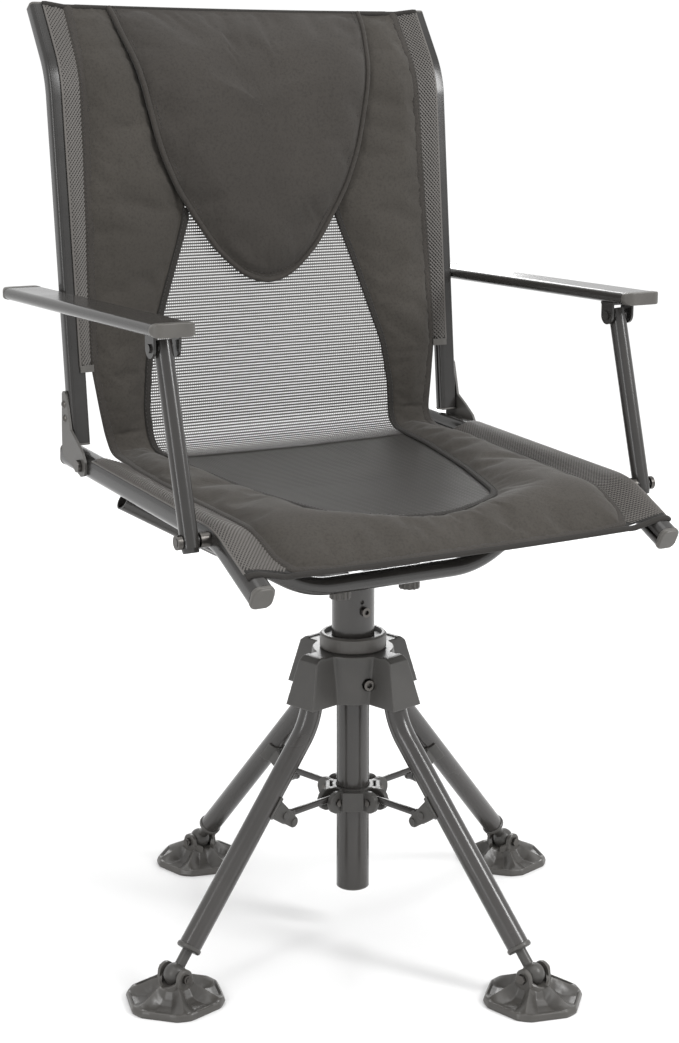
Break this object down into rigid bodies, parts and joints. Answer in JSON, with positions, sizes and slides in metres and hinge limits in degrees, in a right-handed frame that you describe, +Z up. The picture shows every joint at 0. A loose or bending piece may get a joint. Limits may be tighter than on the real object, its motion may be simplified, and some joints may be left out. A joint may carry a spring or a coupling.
{
  "type": "swivel blind chair",
  "caption": "Swivelling field chair with a fabric seat and shield-shaped head pad on dark rails, flat fold-down armrests, and a folding post base with braced legs on wide tilting feet.",
  "frame": {"origin": "on the ground under the swivel axis, at the centre of the base", "axes": "+Z up along the swivel axis, the seat faces -Y at rest, +X to the sitter's left-hand side seen from the front, which is the viewer's right"},
  "size_m": [0.6396, 0.6396, 1.0596],
  "materials": {
    "tube": "satin powder-coated dark gunmetal",
    "rail": "dark anodised extruded aluminium, satin",
    "casting": "dark satin coated casting",
    "hardware": "dark zinc-nickel screws and rivets",
    "plastic": "moulded dark grey plastic, fine texture",
    "fabric": "warm charcoal padded woven polyester with mesh inserts"
  },
  "bodies": {
    "base": {"center_post": "tube", "post_end_plug": "plastic", "leg_hub": "casting", "hub_hinge_pins": "hardware", "hub_set_screw": "hardware", "swivel_thrust_ring": "plastic"},
    "leg_front_left": {"leg_tube_front_left": "tube", "brace_bracket_front_left": "casting", "foot_stud_front_left": "casting"},
    "foot_front_left": {"foot_pad_front_left": "plastic", "foot_bolt_front_left": "hardware"},
    "leg_front_right": {"leg_tube_front_right": "tube", "brace_bracket_front_right": "casting", "foot_stud_front_right": "casting"},
    "foot_front_right": {"foot_pad_front_right": "plastic", "foot_bolt_front_right": "hardware"},
    "leg_back_left": {"leg_tube_back_left": "tube", "brace_bracket_back_left": "casting", "foot_stud_back_left": "casting"},
    "foot_back_left": {"foot_pad_back_left": "plastic", "foot_bolt_back_left": "hardware"},
    "leg_back_right": {"leg_tube_back_right": "tube", "brace_bracket_back_right": "casting", "foot_stud_back_right": "casting"},
    "foot_back_right": {"foot_pad_back_right": "plastic", "foot_bolt_back_right": "hardware"},
    "collar": {"spreader_collar": "casting", "collar_pins": "hardware"},
    "brace_front_left": {"brace_rod_front_left": "tube"},
    "brace_front_right": {"brace_rod_front_right": "tube"},
    "brace_back_left": {"brace_rod_back_left": "tube"},
    "brace_back_right": {"brace_rod_back_right": "tube"},
    "seat": {"swivel_sleeve": "tube", "swivel_bush": "plastic", "sleeve_retaining_screw": "hardware", "seat_plate": "tube", "plate_thumb_nuts": "plastic", "front_crossbar": "tube", "rear_crossbar": "tube", "seat_support_bars": "tube", "seat_rail_left": "rail", "seat_rail_right": "rail", "seat_rail_caps": "plastic", "seat_fabric": "fabric", "seat_hinge_bolts": "hardware"},
    "back": {"back_rail_left": "rail", "back_rail_right": "rail", "back_brackets": "casting", "bracket_rivets": "hardware", "back_spreader_bar": "tube", "back_rail_caps": "plastic", "back_fabric": "fabric", "arm_pivot_bolts": "hardware"},
    "arm_left": {"armrest_left": "rail", "armrest_caps_left": "plastic"},
    "strut_left": {"arm_strut_left": "rail"},
    "arm_right": {"armrest_right": "rail", "armrest_caps_right": "plastic"},
    "strut_right": {"arm_strut_right": "rail"}
  },
  "joints": [
    {"name": "swivel", "type": "hinge", "parent": "base", "child": "seat", "pos_m": [0, 0, 0.39], "axis": [0, 0, 1], "continuous": true},
    {"name": "leg_fold_front_left", "type": "hinge", "parent": "base", "child": "leg_front_left", "pos_m": [-0.05931, -0.01589, 0.306], "axis": [0.2588, -0.9659, 0], "range_deg": [0, 26]},
    {"name": "leg_fold_front_right", "type": "hinge", "parent": "base", "child": "leg_front_right", "pos_m": [0.01589, -0.05931, 0.306], "axis": [0.9659, 0.2588, 0], "range_deg": [0, 26]},
    {"name": "leg_fold_back_left", "type": "hinge", "parent": "base", "child": "leg_back_left", "pos_m": [-0.01589, 0.05931, 0.306], "axis": [-0.9659, -0.2588, 0], "range_deg": [0, 26]},
    {"name": "leg_fold_back_right", "type": "hinge", "parent": "base", "child": "leg_back_right", "pos_m": [0.05931, 0.01589, 0.306], "axis": [-0.2588, 0.9659, 0], "range_deg": [0, 26]},
    {"name": "foot_tilt_front_left", "type": "hinge", "parent": "leg_front_left", "child": "foot_front_left", "pos_m": [-0.26486, -0.07097, 0.03], "axis": [0.2588, -0.9659, 0], "range_deg": [-25, 25]},
    {"name": "foot_tilt_front_right", "type": "hinge", "parent": "leg_front_right", "child": "foot_front_right", "pos_m": [0.07097, -0.26486, 0.03], "axis": [0.9659, 0.2588, 0], "range_deg": [-25, 25]},
    {"name": "foot_tilt_back_left", "type": "hinge", "parent": "leg_back_left", "child": "foot_back_left", "pos_m": [-0.07097, 0.26486, 0.03], "axis": [-0.9659, -0.2588, 0], "range_deg": [-25, 25]},
    {"name": "foot_tilt_back_right", "type": "hinge", "parent": "leg_back_right", "child": "foot_back_right", "pos_m": [0.26486, 0.07097, 0.03], "axis": [-0.2588, 0.9659, 0], "range_deg": [-25, 25]},
    {"name": "collar_slide", "type": "slide", "parent": "base", "child": "collar", "axis": [0, 0, -1], "range_m": [0, 0.0771]},
    {"name": "brace_fold_front_left", "type": "hinge", "parent": "collar", "child": "brace_front_left", "pos_m": [-0.03332, -0.00893, 0.164], "axis": [-0.2588, 0.9659, 0], "range_deg": [0, 94.35]},
    {"name": "brace_fold_front_right", "type": "hinge", "parent": "collar", "child": "brace_front_right", "pos_m": [0.00893, -0.03332, 0.164], "axis": [-0.9659, -0.2588, 0], "range_deg": [0, 94.35]},
    {"name": "brace_fold_back_left", "type": "hinge", "parent": "collar", "child": "brace_back_left", "pos_m": [-0.00893, 0.03332, 0.164], "axis": [0.9659, 0.2588, 0], "range_deg": [0, 94.35]},
    {"name": "brace_fold_back_right", "type": "hinge", "parent": "collar", "child": "brace_back_right", "pos_m": [0.03332, 0.00893, 0.164], "axis": [0.2588, -0.9659, 0], "range_deg": [0, 94.35]},
    {"name": "back_fold", "type": "hinge", "parent": "seat", "child": "back", "pos_m": [0, 0.158, 0.551], "axis": [1, 0, 0], "range_deg": [0, 88]},
    {"name": "armrest_tilt_left", "type": "hinge", "parent": "back", "child": "arm_left", "pos_m": [-0.286, 0.21, 0.736], "axis": [1, 0, 0], "range_deg": [-88, 0]},
    {"name": "strut_swing_left", "type": "hinge", "parent": "seat", "child": "strut_left", "pos_m": [-0.281, -0.16, 0.531], "axis": [1, 0, 0], "range_deg": [0, 88]},
    {"name": "armrest_tilt_right", "type": "hinge", "parent": "back", "child": "arm_right", "pos_m": [0.286, 0.21, 0.736], "axis": [1, 0, 0], "range_deg": [-88, 0]},
    {"name": "strut_swing_right", "type": "hinge", "parent": "seat", "child": "strut_right", "pos_m": [0.281, -0.16, 0.531], "axis": [1, 0, 0], "range_deg": [0, 88]}
  ],
  "couplings": [
    {"joint": "leg_fold_front_right", "follows": "leg_fold_front_left", "ratio": 1},
    {"joint": "leg_fold_back_left", "follows": "leg_fold_front_left", "ratio": 1},
    {"joint": "leg_fold_back_right", "follows": "leg_fold_front_left", "ratio": 1},
    {"joint": "collar_slide", "follows": "leg_fold_front_left", "m_per_rad": 0.16977},
    {"joint": "brace_fold_front_left", "follows": "leg_fold_front_left", "ratio": 3.627},
    {"joint": "brace_fold_front_right", "follows": "leg_fold_front_left", "ratio": 3.627},
    {"joint": "brace_fold_back_left", "follows": "leg_fold_front_left", "ratio": 3.627},
    {"joint": "brace_fold_back_right", "follows": "leg_fold_front_left", "ratio": 3.627},
    {"joint": "armrest_tilt_left", "follows": "back_fold", "ratio": -1},
    {"joint": "strut_swing_left", "follows": "back_fold", "ratio": 1},
    {"joint": "armrest_tilt_right", "follows": "back_fold", "ratio": -1},
    {"joint": "strut_swing_right", "follows": "back_fold", "ratio": 1}
  ]
}
